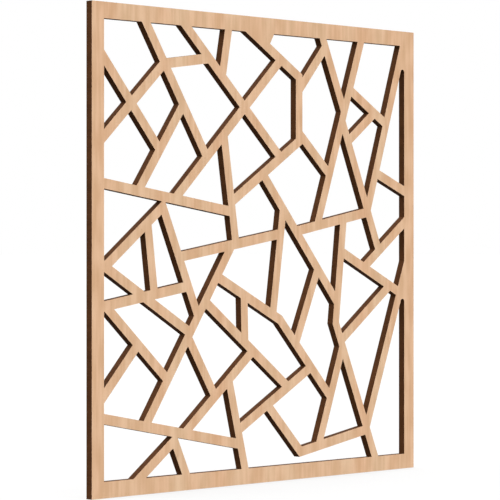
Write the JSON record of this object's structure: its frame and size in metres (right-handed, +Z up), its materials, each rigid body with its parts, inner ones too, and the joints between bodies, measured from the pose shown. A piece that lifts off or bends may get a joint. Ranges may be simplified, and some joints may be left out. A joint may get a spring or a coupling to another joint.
{
  "type": "fretwork panel",
  "caption": "Square flat fretwork wood panel: a plain frame filled with a random lattice of straight bars, for a wall or as an insert in a screen or divider.",
  "frame": {"origin": "middle of the panel's bottom edge, halfway through its thickness", "axes": "+X to the right as seen from the front, +Y through the thickness to the back, +Z up"},
  "size_m": [0.594, 0.0094, 0.594],
  "materials": {
    "pale_wood": "pale straight-grained wood, matt and unvarnished, with the cut edges scorched dark brown"
  },
  "bodies": {
    "root": {"left_stile": "pale_wood", "right_stile": "pale_wood", "bottom_rail": "pale_wood", "top_rail": "pale_wood", "lattice_bar_01": "pale_wood", "lattice_bar_02": "pale_wood", "lattice_bar_03": "pale_wood", "lattice_bar_04": "pale_wood", "lattice_bar_05": "pale_wood", "lattice_bar_06": "pale_wood", "lattice_bar_07": "pale_wood", "lattice_bar_08": "pale_wood", "lattice_bar_09": "pale_wood", "lattice_bar_10": "pale_wood", "lattice_bar_11": "pale_wood", "lattice_bar_12": "pale_wood", "lattice_bar_13": "pale_wood", "lattice_bar_14": "pale_wood", "lattice_bar_15": "pale_wood", "lattice_bar_16": "pale_wood", "lattice_bar_17": "pale_wood", "lattice_bar_18": "pale_wood", "lattice_bar_19": "pale_wood", "lattice_bar_20": "pale_wood", "lattice_bar_21": "pale_wood", "lattice_bar_22": "pale_wood", "lattice_bar_23": "pale_wood", "lattice_bar_24": "pale_wood", "lattice_bar_25": "pale_wood", "lattice_bar_26": "pale_wood", "lattice_bar_27": "pale_wood", "lattice_bar_28": "pale_wood", "lattice_bar_29": "pale_wood", "lattice_bar_30": "pale_wood", "lattice_bar_31": "pale_wood", "lattice_bar_32": "pale_wood", "lattice_bar_33": "pale_wood", "lattice_bar_34": "pale_wood", "lattice_bar_35": "pale_wood", "lattice_bar_36": "pale_wood", "lattice_bar_37": "pale_wood", "lattice_bar_38": "pale_wood", "lattice_bar_39": "pale_wood", "lattice_bar_40": "pale_wood", "lattice_bar_41": "pale_wood", "lattice_bar_42": "pale_wood", "lattice_bar_43": "pale_wood", "lattice_bar_44": "pale_wood", "lattice_bar_45": "pale_wood", "lattice_bar_46": "pale_wood", "lattice_bar_47": "pale_wood", "lattice_bar_48": "pale_wood", "lattice_bar_49": "pale_wood", "lattice_bar_50": "pale_wood", "lattice_bar_51": "pale_wood", "lattice_bar_52": "pale_wood", "lattice_bar_53": "pale_wood", "lattice_bar_54": "pale_wood", "lattice_bar_55": "pale_wood", "corner_blocks": "pale_wood"}
  },
  "joints": []
}
